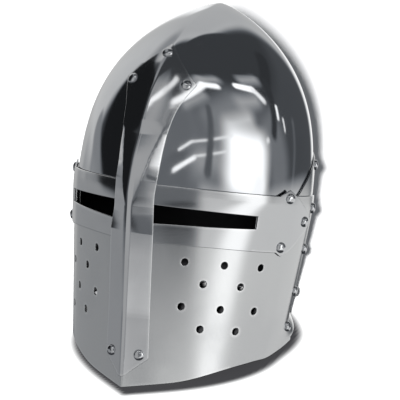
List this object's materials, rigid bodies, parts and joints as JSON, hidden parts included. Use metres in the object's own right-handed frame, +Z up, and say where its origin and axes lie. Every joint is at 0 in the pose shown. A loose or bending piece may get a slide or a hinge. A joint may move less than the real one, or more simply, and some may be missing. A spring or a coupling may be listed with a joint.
{
  "type": "sugarloaf helmet",
  "caption": "Riveted steel sugarloaf helmet: pointed skull, keeled face plate with breath holes, cross-shaped sight band and nasal bar, and a flared back plate",
  "frame": {"origin": "on the surface it rests on, under the middle of the bounding box", "axes": "+Z up, the face towards -Y, +X to the right of someone facing it"},
  "size_m": [0.238, 0.2942, 0.2993],
  "materials": {
    "skull": "mirror polished steel",
    "back_plate": "polished steel, fine grain",
    "face_plate": "polished steel, fine upright grain",
    "sight_band": "polished steel",
    "nasal_bar": "polished steel",
    "rivet": "polished domed steel"
  },
  "bodies": {
    "root": {"skull_right": "skull", "skull_left": "skull", "back_plate": "back_plate", "face_plate": "face_plate", "sight_band": "sight_band", "nasal_bar": "nasal_bar", "rivet_bar_top": "rivet", "rivet_bar_upper_left": "rivet", "rivet_bar_upper_right": "rivet", "rivet_bar_lower_left": "rivet", "rivet_bar_lower_right": "rivet", "rivet_arm_upper_left": "rivet", "rivet_arm_upper_right": "rivet", "rivet_arm_lower_left": "rivet", "rivet_arm_lower_right": "rivet", "rivet_arm_tip_left": "rivet", "rivet_arm_tip_right": "rivet", "rivet_seam_1_left": "rivet", "rivet_seam_1_right": "rivet", "rivet_seam_2_left": "rivet", "rivet_seam_2_right": "rivet", "rivet_seam_3_left": "rivet", "rivet_seam_3_right": "rivet", "rivet_seam_4_left": "rivet", "rivet_seam_4_right": "rivet", "rivet_back_1_left": "rivet", "rivet_back_1_right": "rivet", "rivet_back_2_left": "rivet", "rivet_back_2_right": "rivet", "rivet_back_3_left": "rivet", "rivet_back_3_right": "rivet", "rivet_back_middle": "rivet"}
  },
  "joints": []
}
